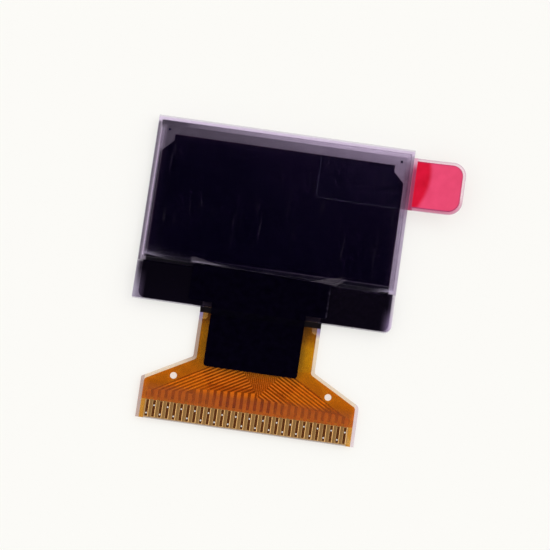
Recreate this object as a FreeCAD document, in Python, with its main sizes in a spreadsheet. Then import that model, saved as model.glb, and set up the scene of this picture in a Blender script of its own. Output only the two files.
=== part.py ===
import FreeCAD, Part

import math
import os
import re

import Sketcher

# Graphic OLED panel of the 0.96 inch class with a flexible solder tail.
# Millimetres. The origin is the centre of the glass outline on the back face.
# X runs along the glass, Y to the display's top edge, Z out of the display.

SIZES = {
    # Glass package
    "panel_width": 26.7,
    "panel_height": 19.26,
    "substrate_thick": 0.7,
    "substrate_corner": 0.7,
    "cap_thick": 0.52,
    "ledge_depth": 4.1,
    "pocket_wall": 1.75,
    "pocket_depth": 0.25,
    "pocket_corner": 1.5,
    "desiccant_gap": 0.5,
    "desiccant_thick": 0.15,
    "desiccant_corner": 0.8,
    "seal_thick": 0.03,
    "seal_inset": 0.33,
    "seal_width": 0.42,
    "seal_corner": 0.35,
    # Display layers and leads under the front glass
    "layer_thick": 0.02,
    "layer_seal_gap": 0.03,
    "layer_top_gap": 1.2,
    "layer_step": 0.7,
    "layer_chamfer": 1.1,
    "lead_thick": 0.01,
    "lead_width": 0.12,
    "lead_fan_gap": 2.55,
    "lead_count": 16,
    "lead_overlap": 0.25,
    "mark_width": 0.24,
    "mark_side_gap": 1.25,
    "mark_top_gap": 1.25,
    # Films on the front
    "polarizer_left_gap": 0.5,
    "polarizer_right_gap": 0.3,
    "polarizer_top_gap": 0.48,
    "polarizer_foot_gap": 0.23,
    "polarizer_thick": 0.2,
    "film_thick": 0.05,
    "film_inset": 0.04,
    "film_lift_run": 1.6,
    "film_lift_radius": 9.0,
    "strip_bond_length": 9.2,
    "strip_reach": 5.45,
    "strip_top_gap": 0.39,
    "strip_width": 5.52,
    "strip_thick": 0.05,
    "strip_corner": 1.4,
    "strip_bond_corner": 0.5,
    "curl_radius": 26.0,
    "tab_gap": 0.35,
    "tab_thick": 0.05,
    "tab_rim": 0.3,
    "tab_corner": 1.15,
    # Driver chip and bonds
    "die_width": 6.76,
    "die_depth": 0.86,
    "die_thick": 0.3,
    "die_edge_gap": 0.95,
    "bond_thick": 0.02,
    "bond_margin": 0.15,
    "tail_bond_length": 1.3,
    # Flexible tail
    "neck_width": 12.5,
    "tail_side_margin": 1.05,
    "tail_reach": 12.07,
    "tail_foot": 4.2,
    "shoulder_rise": 2.75,
    "left_shoulder_round": 0.12,
    "right_shoulder_round": 0.6,
    "neck_round": 0.3,
    "tail_tuck": 1.45,
    "base_thick": 0.05,
    "copper_thick": 0.02,
    "coverlay_thick": 0.05,
    "coverlay_inset": 0.35,
    "coverlay_round": 0.4,
    "coverlay_edge_gap": 0.05,
    "coverlay_notch_width": 0.5,
    "coverlay_notch_depth": 1.1,
    "coverlay_notch_round": 0.3,
    "rear_coverlay_tuck": 0.6,
    "window_margin": 0.05,
    "ground_margin": 0.3,
    "ground_shoulder": 0.75,
    "hole_diameter": 0.7,
    "hole_side_gap": 3.25,
    "hole_height": 4.7,
    # Solder pads and traces
    "pad_count": 30,
    "left_pad_count": 16,
    "pad_pitch": 0.7,
    "pad_width": 0.4,
    "pad_length": 1.8,
    "pad_end_gap": 0.15,
    "pad_hole_diameter": 0.22,
    "pad_hole_low": 0.37,
    "pad_hole_high": 1.23,
    "trace_width": 0.14,
    "trace_pitch": 0.2,
    "trace_angle": 30.0,
    "left_stub": 2.03,
    "right_stub": 1.56,
    "stub_fall": 0.0425,
    "unwired_drop": 0.08,
    # Glue bead and shield tapes
    "bead_depth": 0.5,
    "bead_clearance": 0.07,
    "tape_thick": 0.08,
    "tape_round": 0.3,
    "bar_left_wing": 2.49,
    "bar_right_wing": 2.17,
    "bar_gap": 0.05,
    "bar_foot": 0.5,
    "leg_left_gap": 1.14,
    "leg_right_gap": 1.72,
    "leg_reach": 5.95,
    "rear_tape_left_gap": 0.55,
    "rear_tape_right_gap": 0.3,
    "rear_tape_foot": 0.18,
    "rear_tape_gap": 0.02,
    "rear_tape_round": 0.7,
    "tent_side_gap": 0.65,
    "tent_die_gap": 0.02,
    "tent_slope_run": 0.45,
    "tent_tail_gap": 0.02,
}

# Pads that end in a stub because nothing is wired to them
UNWIRED_PADS = (1, 7, 30)

doc = FreeCAD.newDocument("display_module")
sheet = doc.addObject("Spreadsheet::Sheet", "Sizes")
for row, (alias, number) in enumerate(SIZES.items(), start=1):
    sheet.set(f"A{row}", alias)
    sheet.set(f"B{row}", str(number))
    sheet.setAlias(f"B{row}", alias)
doc.recompute()

nodes = []


# Expressions are written with plain size names, and bound() points them at the sheet.
def bound(text):
    def point(word):
        return f"{sheet.Name}.{word[0]}" if word[0] in SIZES else word[0]

    return re.sub(r"[a-z_]{3,}", point, text)


def value(text):
    return float(sheet.evalExpression(bound(text)))


# Levels, from the back face up
UNDERSIDE = "(cap_thick + seal_thick)"
FRONT = f"({UNDERSIDE} + substrate_thick)"
LEADS = f"({UNDERSIDE} - lead_thick)"
COPPER_TOP = f"({LEADS} - bond_thick)"
COPPER = f"({COPPER_TOP} - copper_thick)"
BASE = f"({COPPER} - base_thick)"
GROUND = f"({BASE} - copper_thick)"
REAR = f"({GROUND} - coverlay_thick)"
COVER_TOP = f"({COPPER_TOP} + coverlay_thick)"
FILM = f"({FRONT} + polarizer_thick)"
STRIP = f"({FILM} + film_thick)"

# Lines across the part, from the display's top edge down
GLASS_TOP = "panel_height / 2"
GLASS_EDGE = "(-panel_height / 2)"
GLASS_SIDE = "(panel_width / 2)"
CAP_EDGE = f"({GLASS_EDGE} + ledge_depth)"
DIE_TOP = f"({CAP_EDGE} - die_edge_gap)"
DIE_FOOT = f"({DIE_TOP} - die_depth)"
TAIL_TOP = f"({GLASS_EDGE} + tail_tuck)"
TAIL_END = f"({GLASS_EDGE} - tail_reach)"
SHOULDER = f"({TAIL_END} + tail_foot)"
NECK_END = f"({SHOULDER} + shoulder_rise)"
PAD_END = f"({TAIL_END} + pad_end_gap)"
PAD_TOP = f"({PAD_END} + pad_length)"
PAD_SIDE = "((pad_count - 1) * pad_pitch / 2)"
TAIL_SIDE = f"({PAD_SIDE} + tail_side_margin)"
FAN_MIDDLE = "((left_pad_count - pad_count / 2) * pad_pitch)"
POLARIZER_TOP = f"({GLASS_TOP} - polarizer_top_gap)"
POLARIZER_FOOT = f"({CAP_EDGE} + polarizer_foot_gap)"
POLARIZER_LEFT = f"(-{GLASS_SIDE} + polarizer_left_gap)"
POLARIZER_RIGHT = f"({GLASS_SIDE} - polarizer_right_gap)"
LAYER_SIDE = f"({GLASS_SIDE} - seal_inset - seal_width - layer_seal_gap)"
LAYER_TOP = f"({POLARIZER_TOP} - layer_top_gap)"
LAYER_FOOT = f"({CAP_EDGE} + seal_inset + seal_width + layer_seal_gap)"
LEAD_FAN = f"({LAYER_SIDE} - lead_fan_gap)"
FILM_LEFT = f"({POLARIZER_LEFT} + film_inset)"
FILM_RIGHT = f"({POLARIZER_RIGHT} - film_inset)"
STRIP_LEFT = f"({FILM_RIGHT} - strip_bond_length)"
STRIP_RIGHT = f"({GLASS_SIDE} + strip_reach)"
STRIP_HIGH = f"({POLARIZER_TOP} - strip_top_gap)"
STRIP_LOW = f"({STRIP_HIGH} - strip_width)"
LEG_LEFT = "(-neck_width / 2 + leg_left_gap)"
LEG_RIGHT = "(neck_width / 2 - leg_right_gap)"


def new_body(label, level="0"):
    body = doc.addObject("PartDesign::Body", label)
    body.setExpression(".Placement.Base.z", bound(level))
    nodes.append(body)
    return body


def new_feature(label, shape, level):
    feature = doc.addObject("Part::Feature", label)
    feature.Shape = shape
    feature.Placement = FreeCAD.Placement(FreeCAD.Vector(0, 0, value(level)), FreeCAD.Rotation())
    nodes.append(feature)
    return feature


def new_sketch(body, role="XY_Plane", offset="0"):
    sketch = body.newObject("Sketcher::SketchObject", body.Name + "_sketch")
    plane = next(feature for feature in body.Origin.OriginFeatures if feature.Role == role)
    sketch.AttachmentSupport = [(plane, "")]
    sketch.MapMode = "FlatFace"
    sketch.setExpression(".AttachmentOffset.Base.z", bound(offset))
    return sketch


def fix_coordinate(sketch, kind, geometry, point, text):
    if abs(value(text)) < 1e-9:
        axis = -2 if kind == "DistanceX" else -1
        sketch.addConstraint(Sketcher.Constraint("PointOnObject", geometry, point, axis))
        return
    index = sketch.addConstraint(Sketcher.Constraint(kind, -1, 1, geometry, point, value(text)))
    sketch.setExpression(f"Constraints[{index}]", bound(text))


def fix_point(sketch, geometry, point, across, along):
    fix_coordinate(sketch, "DistanceX", geometry, point, across)
    fix_coordinate(sketch, "DistanceY", geometry, point, along)


def draw_polygon(sketch, corners):
    points = [FreeCAD.Vector(value(across), value(along), 0) for across, along in corners]
    first = sketch.GeometryCount
    count = len(points)
    for index in range(count):
        sketch.addGeometry(Part.LineSegment(points[index], points[(index + 1) % count]), False)
    for index in range(count):
        following = first + (index + 1) % count
        sketch.addConstraint(Sketcher.Constraint("Coincident", first + index, 2, following, 1))
    for index, (across, along) in enumerate(corners):
        fix_point(sketch, first + index, 1, across, along)


def draw_rectangle(sketch, left, right, low, high):
    draw_polygon(sketch, [(left, low), (right, low), (right, high), (left, high)])


def draw_circle(sketch, across, along, diameter):
    centre = FreeCAD.Vector(value(across), value(along), 0)
    circle = Part.Circle(centre, FreeCAD.Vector(0, 0, 1), value(diameter) / 2)
    index = sketch.addGeometry(circle, False)
    fix_point(sketch, index, 3, across, along)
    radius = sketch.addConstraint(Sketcher.Constraint("Diameter", index, value(diameter)))
    sketch.setExpression(f"Constraints[{radius}]", bound(diameter))


# A curled film's section: two arcs about one centre, closed by two radial ends.
# The film's lower face has the given radius, and the centre lies above it.
def draw_arc_band(sketch, centre, radius, thick, left, right):
    middle = FreeCAD.Vector(value(centre[0]), value(centre[1]), 0)
    outer = value(radius)
    angles = [-math.acos((value(end) - middle.x) / outer) for end in (left, right)]
    rims = []
    for reach in (outer, outer - value(thick)):
        circle = Part.Circle(middle, FreeCAD.Vector(0, 0, 1), reach)
        rims.append(sketch.addGeometry(Part.ArcOfCircle(circle, angles[0], angles[1]), False))
    low, high = rims
    for point in (1, 2):
        ends = [sketch.getPoint(rim, point) for rim in rims]
        line = sketch.addGeometry(Part.LineSegment(ends[0], ends[1]), False)
        sketch.addConstraint(Sketcher.Constraint("Coincident", line, 1, low, point))
        sketch.addConstraint(Sketcher.Constraint("Coincident", line, 2, high, point))
        sketch.addConstraint(Sketcher.Constraint("PointOnObject", low, 3, line))
    sketch.addConstraint(Sketcher.Constraint("Coincident", low, 3, high, 3))
    fix_point(sketch, low, 3, centre[0], centre[1])
    for rim, reach in ((low, radius), (high, f"({radius} - {thick})")):
        index = sketch.addConstraint(Sketcher.Constraint("Radius", rim, value(reach)))
        sketch.setExpression(f"Constraints[{index}]", bound(reach))
    fix_coordinate(sketch, "DistanceX", low, 1, left)
    fix_coordinate(sketch, "DistanceX", low, 2, right)


def pad(body, sketch, length):
    feature = body.newObject("PartDesign::Pad", body.Name + "_pad")
    feature.Profile = sketch
    feature.setExpression("Length", bound(length))
    doc.recompute()
    return feature


def pocket(body, sketch, depth=None):
    before = body.Tip.Shape.Volume
    feature = body.newObject("PartDesign::Pocket", body.Name + "_pocket")
    feature.Profile = sketch
    if depth is None:
        feature.Type = "ThroughAll"
    else:
        feature.setExpression("Length", bound(depth))
    doc.recompute()
    if feature.Shape.Volume >= before:
        raise RuntimeError(f"{body.Name}: the pocket cuts nothing")
    return feature


# Rounds the short edges that run through the film or plate at the given corners.
def round_corners(body, radius, corners, view=("x", "y")):
    base = body.Tip
    names = []
    for across, along in corners:
        corner = (value(across), value(along))
        for index, edge in enumerate(base.Shape.Edges, start=1):
            ends = [vertex.Point for vertex in edge.Vertexes]
            spots = [(getattr(end, view[0]), getattr(end, view[1])) for end in ends]
            if len(spots) == 2 and all(math.dist(spot, corner) < 1e-4 for spot in spots):
                names.append(f"Edge{index}")
    if len(names) != len(corners):
        raise RuntimeError(f"{body.Name}: {len(names)} edges found for {len(corners)} corners")
    feature = body.newObject("PartDesign::Fillet", body.Name + "_fillet")
    feature.Base = (base, names)
    feature.setExpression("Radius", bound(radius))
    doc.recompute()
    return feature


def block(label, left, width, low, depth, level, thick):
    box = doc.addObject("Part::Box", label)
    sizes = {"Length": width, "Width": depth, "Height": thick}
    places = {".Placement.Base.x": left, ".Placement.Base.y": low, ".Placement.Base.z": level}
    for name, text in {**sizes, **places}.items():
        box.setExpression(name, bound(text))
    nodes.append(box)
    return box


# Rear glass with the pocket that holds the drying sheet
def make_cap_glass():
    body = new_body("cap_glass")
    plate = new_sketch(body)
    draw_rectangle(plate, f"-{GLASS_SIDE}", GLASS_SIDE, CAP_EDGE, GLASS_TOP)
    pad(body, plate, "cap_thick")
    sides = [f"(-{GLASS_SIDE} + pocket_wall)", f"({GLASS_SIDE} - pocket_wall)"]
    ends = [f"({CAP_EDGE} + pocket_wall)", f"({GLASS_TOP} - pocket_wall)"]
    hollow = new_sketch(body, offset="cap_thick")
    draw_rectangle(hollow, sides[0], sides[1], ends[0], ends[1])
    pocket(body, hollow, "pocket_depth")
    round_corners(body, "pocket_corner", [(side, end) for side in sides for end in ends])


def make_desiccant_sheet():
    body = new_body("desiccant_sheet", "cap_thick - pocket_depth")
    inset = "(pocket_wall + desiccant_gap)"
    sides = [f"(-{GLASS_SIDE} + {inset})", f"({GLASS_SIDE} - {inset})"]
    ends = [f"({CAP_EDGE} + {inset})", f"({GLASS_TOP} - {inset})"]
    plate = new_sketch(body)
    draw_rectangle(plate, sides[0], sides[1], ends[0], ends[1])
    pad(body, plate, "desiccant_thick")
    round_corners(body, "desiccant_corner", [(side, end) for side in sides for end in ends])


# Cured seal round the cap's rim, with a shallow step where the leads pass over it
def make_perimeter_seal():
    body = new_body("perimeter_seal", "cap_thick")
    outline = []
    for inset in ("seal_inset", "(seal_inset + seal_width)"):
        sides = [f"(-{GLASS_SIDE} + {inset})", f"({GLASS_SIDE} - {inset})"]
        ends = [f"({CAP_EDGE} + {inset})", f"({GLASS_TOP} - {inset})"]
        outline.append((sides, ends))
    (outer_sides, outer_ends), (inner_sides, inner_ends) = outline
    plate = new_sketch(body)
    draw_rectangle(plate, outer_sides[0], outer_sides[1], outer_ends[0], outer_ends[1])
    pad(body, plate, "seal_thick")
    round_corners(body, "seal_corner", [(side, end) for side in outer_sides for end in outer_ends])
    hollow = new_sketch(body, offset="seal_thick")
    draw_rectangle(hollow, inner_sides[0], inner_sides[1], inner_ends[0], inner_ends[1])
    pocket(body, hollow)
    step = new_sketch(body, offset="seal_thick")
    reach = f"({LEAD_FAN} + lead_width)"
    low = f"({outer_ends[0]} - seal_inset)"
    draw_rectangle(step, f"-{reach}", reach, low, f"({inner_ends[0]} + seal_inset)")
    pocket(body, step, "lead_thick")


# Organic layers and metal cathode under the front glass, with cut upper corners
def make_display_layers():
    body = new_body("display_layers", f"{UNDERSIDE} - layer_thick")
    neck = f"({LAYER_SIDE} - layer_chamfer)"
    step = f"({LAYER_TOP} - layer_step)"
    shoulder = f"({step} - layer_chamfer)"
    right = [(LAYER_SIDE, LAYER_FOOT), (LAYER_SIDE, shoulder), (neck, step), (neck, LAYER_TOP)]
    left = [(f"-{across}", along) for across, along in reversed(right)]
    sheet_outline = new_sketch(body)
    draw_polygon(sheet_outline, right + left)
    pad(body, sheet_outline, "layer_thick")


def make_substrate_glass():
    body = new_body("substrate_glass", UNDERSIDE)
    plate = new_sketch(body)
    draw_rectangle(plate, f"-{GLASS_SIDE}", GLASS_SIDE, GLASS_EDGE, GLASS_TOP)
    pad(body, plate, "substrate_thick")
    round_corners(body, "substrate_corner", [(GLASS_SIDE, GLASS_EDGE)])


# Two square marks by which the glasses were lined up
def make_alignment_marks():
    marks = []
    for side in ("-", ""):
        mark = doc.addObject("Part::Box", "mark")
        for length in ("Length", "Width"):
            mark.setExpression(length, bound("mark_width"))
        mark.setExpression("Height", bound("lead_thick"))
        left = f"{side}({GLASS_SIDE} - mark_side_gap) - mark_width / 2"
        mark.setExpression(".Placement.Base.x", bound(left))
        mark.setExpression(".Placement.Base.y", bound(f"{GLASS_TOP} - mark_top_gap - mark_width / 2"))
        mark.setExpression(".Placement.Base.z", bound(LEADS))
        marks.append(mark)
    pair = doc.addObject("Part::Compound", "alignment_marks")
    pair.Links = marks
    nodes.append(pair)


def make_polarizer():
    body = new_body("polarizer", FRONT)
    plate = new_sketch(body)
    draw_rectangle(plate, POLARIZER_LEFT, POLARIZER_RIGHT, POLARIZER_FOOT, POLARIZER_TOP)
    pad(body, plate, "polarizer_thick")


# Clear film over the polarizer, whose lower edge has come away and curls up
def make_protective_film():
    body = new_body("protective_film", FILM)
    bend = f"({POLARIZER_FOOT} + film_inset + film_lift_run)"
    flat = new_sketch(body)
    draw_rectangle(flat, FILM_LEFT, FILM_RIGHT, bend, f"({POLARIZER_TOP} - film_inset)")
    pad(body, flat, "film_thick")
    lift = new_sketch(body, "YZ_Plane", FILM_LEFT)
    centre = (bend, "film_lift_radius")
    draw_arc_band(lift, centre, "film_lift_radius", "film_thick", f"({bend} - film_lift_run)", bend)
    pad(body, lift, f"({FILM_RIGHT} - {FILM_LEFT})")


# Clear adhesive strip on the film, whose free end stands out past the glass
def make_pull_strip():
    body = new_body("pull_strip", STRIP)
    flat = new_sketch(body)
    draw_rectangle(flat, STRIP_LEFT, FILM_RIGHT, STRIP_LOW, STRIP_HIGH)
    pad(body, flat, "strip_thick")
    round_corners(body, "strip_bond_corner", [(STRIP_LEFT, STRIP_LOW), (STRIP_LEFT, STRIP_HIGH)])
    curl = new_sketch(body, "XZ_Plane", f"-{STRIP_HIGH}")
    draw_arc_band(curl, (FILM_RIGHT, "curl_radius"), "curl_radius", "strip_thick", FILM_RIGHT, STRIP_RIGHT)
    pad(body, curl, "strip_width")
    round_film_end(body, "strip_corner", STRIP_LOW, STRIP_HIGH)


# Red film on the strip's free end
def make_pull_tab():
    body = new_body("pull_tab", STRIP)
    low = f"({STRIP_LOW} + tab_rim)"
    high = f"({STRIP_HIGH} - tab_rim)"
    curl = new_sketch(body, "XZ_Plane", f"-{high}")
    reach = "(curl_radius - strip_thick)"
    centre = (FILM_RIGHT, "curl_radius")
    left = f"({GLASS_SIDE} + tab_gap)"
    draw_arc_band(curl, centre, reach, "tab_thick", left, f"({STRIP_RIGHT} - tab_rim)")
    pad(body, curl, f"({high} - {low})")
    round_film_end(body, "tab_corner", low, high)


# Rounds the two corners at a curled film's free end.
def round_film_end(body, radius, low, high):
    base = body.Tip
    tip = base.Shape.BoundBox.XMax
    names = []
    for index, edge in enumerate(base.Shape.Edges, start=1):
        centre = edge.CenterOfMass
        at_corner = min(abs(centre.y - value(low)), abs(centre.y - value(high))) < 1e-6
        if at_corner and edge.Length < 0.2 and centre.x > tip - 0.2:
            names.append(f"Edge{index}")
    feature = body.newObject("PartDesign::Fillet", body.Name + "_fillet")
    feature.Base = (base, names)
    feature.setExpression("Radius", bound(radius))
    doc.recompute()


# Places of the pads and of the straight traces that they are wired to
def pad_across(number):
    return (number - (value("pad_count") + 1) / 2) * value("pad_pitch")


def wired_pads():
    count = int(value("pad_count"))
    last_left = int(value("left_pad_count"))
    left = [number for number in range(last_left, 0, -1) if number not in UNWIRED_PADS]
    right = [number for number in range(last_left + 1, count + 1) if number not in UNWIRED_PADS]
    return [(number, -1, order) for order, number in enumerate(left)] + [
        (number, 1, order) for order, number in enumerate(right)
    ]


def trace_across(side, order):
    return value(FAN_MIDDLE) + side * (order + 0.5) * value("trace_pitch")


def flat_solid(points, thick):
    corners = [FreeCAD.Vector(across, along, 0) for across, along in points]
    wire = Part.makePolygon(corners + corners[:1])
    return Part.Face(wire).extrude(FreeCAD.Vector(0, 0, thick))


# Outline of a strip of even width along a bent line
def strip_outline(line, width):
    left = []
    right = []
    for index, point in enumerate(line):
        steps = []
        for start, end in ((index - 1, index), (index, index + 1)):
            if start >= 0 and end < len(line):
                length = math.dist(line[start], line[end])
                across = (line[end][0] - line[start][0]) / length
                along = (line[end][1] - line[start][1]) / length
                steps.append((-along, across))
        normal = [sum(step[axis] for step in steps) / len(steps) for axis in (0, 1)]
        reach = width / 2 / (normal[0] ** 2 + normal[1] ** 2)
        left.append((point[0] + normal[0] * reach, point[1] + normal[1] * reach))
        right.append((point[0] - normal[0] * reach, point[1] - normal[1] * reach))
    return left + right[::-1]


# Leads under the ledge: a fan from the display to the chip, and straight lines to the tail
def make_ledge_leads():
    width = value("lead_width")
    count = int(value("lead_count"))
    solids = []
    for index in range(count):
        share = index / (count - 1) - 0.5
        start = share * 2 * value(LEAD_FAN)
        end = share * (value("die_width") - 2 * width)
        line = [
            (start, value(LAYER_FOOT)),
            (end, value(DIE_TOP)),
            (end, value(DIE_TOP) - value("lead_overlap")),
        ]
        outline = [(across - width / 2, along) for across, along in line]
        outline += [(across + width / 2, along) for across, along in reversed(line)]
        solids.append(flat_solid(outline, value("lead_thick")))
    low = value(GLASS_EDGE) + value("bond_margin")
    high = value(DIE_FOOT) + value("lead_overlap")
    for _, side, order in wired_pads():
        middle = trace_across(side, order)
        line = [(middle, low), (middle, high)]
        solids.append(flat_solid(strip_outline(line, width), value("lead_thick")))
    new_feature("ledge_leads", Part.makeCompound(solids), LEADS)


def make_driver_die():
    level = f"{COPPER_TOP} - die_thick"
    block("driver_die", "-die_width / 2", "die_width", DIE_FOOT, "die_depth", level, "die_thick")


def make_die_bond_film():
    block(
        "die_bond_film",
        "-die_width / 2 - bond_margin",
        "die_width + 2 * bond_margin",
        f"{DIE_FOOT} - bond_margin",
        "die_depth + 2 * bond_margin",
        COPPER_TOP,
        "bond_thick",
    )


def make_tail_bond_film():
    block(
        "tail_bond_film",
        "-neck_width / 2 + bond_margin",
        "neck_width - 2 * bond_margin",
        f"{TAIL_TOP} - tail_bond_length",
        "tail_bond_length",
        COPPER_TOP,
        "bond_thick",
    )


# Tail outline, drawn in from the edge by an inset, between two lines across it
def tail_corners(inset, low, high, notch=False):
    slope = f"(shoulder_rise / ({TAIL_SIDE} - neck_width / 2))"
    drop = f"({inset} * (sqrt(1 + {slope} ^ 2) - {slope}))"
    neck = f"(neck_width / 2 - {inset})"
    foot = f"({TAIL_SIDE} - {inset})"
    turn = (neck, f"({NECK_END} - {drop})")
    shoulder = (foot, f"({SHOULDER} - {drop})")
    right = [(foot, low), shoulder, turn]
    if notch:
        step = f"({neck} - coverlay_notch_width)"
        sill = f"({high} - coverlay_notch_depth)"
        right += [(neck, sill), (step, sill), (step, high)]
    else:
        right += [(neck, high)]
    left = [(f"-{across}", along) for across, along in reversed(right)]
    return right + left, turn, shoulder


def mirror(corner):
    return (f"-{corner[0]}", corner[1])


# Two locating holes in the tail's shoulders
def cut_locating_holes(body, top):
    holes = new_sketch(body, offset=top)
    across = f"({TAIL_SIDE} - hole_side_gap)"
    for side in ("-", ""):
        draw_circle(holes, f"({side}{across})", f"({TAIL_END} + hole_height)", "hole_diameter")
    pocket(body, holes)


# Small holes through the pads, low in the odd ones and high in the even ones
def cut_pad_holes(body, top):
    for first, height in ((1, "pad_hole_low"), (2, "pad_hole_high")):
        hole = new_sketch(body, offset=top)
        across = f"(({first} - (pad_count + 1) / 2) * pad_pitch)"
        draw_circle(hole, across, f"({PAD_END} + {height})", "pad_hole_diameter")
        cut = pocket(body, hole)
        row = body.newObject("PartDesign::LinearPattern", body.Name + "_row")
        row.Originals = [cut]
        row.Direction = (hole, ["H_Axis"])
        row.setExpression("Occurrences", bound("pad_count / 2"))
        row.setExpression("Length", bound("(pad_count / 2 - 1) * 2 * pad_pitch"))
        body.Tip = row
        doc.recompute()
        if row.Shape.Volume >= cut.Shape.Volume:
            raise RuntimeError(f"{body.Name}: the row of pad holes cuts nothing")


def make_tail_base_film():
    body = new_body("tail_base_film", BASE)
    outline, turn, shoulder = tail_corners("0", TAIL_END, TAIL_TOP)
    film = new_sketch(body)
    draw_polygon(film, outline)
    pad(body, film, "base_thick")
    round_corners(body, "neck_round", [turn, mirror(turn)])
    round_corners(body, "right_shoulder_round", [shoulder])
    round_corners(body, "left_shoulder_round", [mirror(shoulder)])
    cut_locating_holes(body, "base_thick")
    cut_pad_holes(body, "base_thick")


def make_front_coverlay():
    body = new_body("front_coverlay", COPPER_TOP)
    high = f"({GLASS_EDGE} - coverlay_edge_gap)"
    outline, turn, shoulder = tail_corners("coverlay_inset", PAD_TOP, high, notch=True)
    film = new_sketch(body)
    draw_polygon(film, outline)
    pad(body, film, "coverlay_thick")
    round_corners(body, "coverlay_round", [turn, mirror(turn), shoulder, mirror(shoulder)])
    inner = ("(neck_width / 2 - coverlay_inset - coverlay_notch_width)", f"({high} - coverlay_notch_depth)")
    round_corners(body, "coverlay_notch_round", [inner, mirror(inner)])
    cut_locating_holes(body, "coverlay_thick")


# Outline of the ground copper behind the fan of traces and the straight traces above it
def ground_corners():
    side = f"({PAD_SIDE} + ground_margin)"
    low = f"({PAD_TOP} + ground_margin)"
    shoulder = f"({PAD_TOP} + ground_shoulder)"
    high = f"({GLASS_EDGE} - ground_margin)"
    right_neck = f"({FAN_MIDDLE} + (pad_count - left_pad_count) * trace_pitch)"
    left_neck = f"({FAN_MIDDLE} - left_pad_count * trace_pitch)"
    right_turn = f"({shoulder} + ({side} - {right_neck}) * tan(trace_angle))"
    left_turn = f"({shoulder} + ({side} + {left_neck}) * tan(trace_angle))"
    right = [(side, low), (side, shoulder), (right_neck, right_turn), (right_neck, high)]
    left = [(left_neck, high), (left_neck, left_turn), (f"-{side}", shoulder), (f"-{side}", low)]
    return right + left


# Rear film: it lies over the ground copper and leaves the film behind the pads bare
def make_rear_coverlay():
    body = new_body("rear_coverlay", REAR)
    thick = "(coverlay_thick + copper_thick)"
    high = f"({GLASS_EDGE} + rear_coverlay_tuck)"
    outline, turn, shoulder = tail_corners("coverlay_inset", TAIL_END, high)
    film = new_sketch(body)
    draw_polygon(film, outline)
    pad(body, film, thick)
    round_corners(body, "coverlay_round", [turn, mirror(turn), shoulder, mirror(shoulder)])
    cut_locating_holes(body, thick)
    window = new_sketch(body, offset=thick)
    side = f"({PAD_SIDE} + pad_width / 2 + window_margin)"
    draw_rectangle(window, f"-{side}", side, f"({TAIL_END} - coverlay_inset)", PAD_TOP)
    pocket(body, window)
    recess = new_sketch(body, offset=thick)
    draw_polygon(recess, ground_corners())
    pocket(body, recess, "copper_thick")


def make_rear_ground_copper():
    body = new_body("rear_ground_copper", GROUND)
    plate = new_sketch(body)
    draw_polygon(plate, ground_corners())
    pad(body, plate, "copper_thick")


# Height of each pad's stub. The traces' slanting runs lie evenly side by side, and
# an unwired pad's stub is a little shorter than its neighbour's.
def stub_tops():
    slope = math.tan(math.radians(value("trace_angle")))
    step = value("pad_pitch") * slope - value("stub_fall")
    longest = {-1: value("left_stub"), 1: value("right_stub")}
    tops = {}
    for number, side, order in wired_pads():
        reach = abs(pad_across(number) - value(FAN_MIDDLE)) - value("pad_pitch") / 2
        tops[number] = value(PAD_TOP) + longest[side] + order * step - reach * slope
    for number in UNWIRED_PADS:
        neighbour = number - 1 if number > 1 else number + 1
        tops[number] = tops[neighbour] - value("unwired_drop")
    return tops


# Traces: a wide stub over each pad, then a slanting run to a straight one up the neck
def make_tail_traces():
    thick = value("copper_thick")
    half_pad = value("pad_width") / 2
    low = value(PAD_TOP)
    slope = math.tan(math.radians(value("trace_angle")))
    tops = stub_tops()
    stubs = {}
    for number, high in tops.items():
        across = pad_across(number)
        corners = [(across - half_pad, low), (across + half_pad, low)]
        corners += [(across + half_pad, high), (across - half_pad, high)]
        stubs[number] = flat_solid(corners, thick)
    for number, side, order in wired_pads():
        start = pad_across(number)
        end = trace_across(side, order)
        high = tops[number]
        bend = high + abs(start - end) * slope
        tip = value(TAIL_TOP) - value("bond_margin")
        line = [(start, high - half_pad), (start, high), (end, bend), (end, tip)]
        run = flat_solid(strip_outline(line, value("trace_width")), thick)
        stubs[number] = stubs[number].fuse(run).removeSplitter()
    new_feature("tail_traces", Part.makeCompound(list(stubs.values())), COPPER)


def make_contact_pads():
    thick = value("copper_thick")
    size = (value("pad_width"), value("pad_length"))
    solids = []
    for number in range(1, int(value("pad_count")) + 1):
        corner = FreeCAD.Vector(pad_across(number) - size[0] / 2, value(PAD_END), 0)
        height = value("pad_hole_low") if number % 2 else value("pad_hole_high")
        centre = FreeCAD.Vector(pad_across(number), value(PAD_END) + height, 0)
        hole = Part.makeCylinder(value("pad_hole_diameter") / 2, thick, centre)
        solids.append(Part.makeBox(size[0], size[1], thick, corner).cut(hole))
    new_feature("contact_pads", Part.makeCompound(solids), COPPER)


# The tape slopes down from the glass edge to the tail, over the bead of glue
SLOPE_RUN = "(bead_depth + bead_clearance)"
SLOPE_FALL = f"({FRONT} - {COVER_TOP})"


def make_glue_bead():
    body = new_body("glue_bead", COVER_TOP)
    section = new_sketch(body, "YZ_Plane", "-neck_width / 2")
    height = f"({SLOPE_FALL} * bead_depth / {SLOPE_RUN})"
    foot = f"({GLASS_EDGE} - bead_depth)"
    draw_polygon(section, [(foot, "0"), (GLASS_EDGE, "0"), (GLASS_EDGE, height)])
    pad(body, section, "neck_width")


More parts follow.
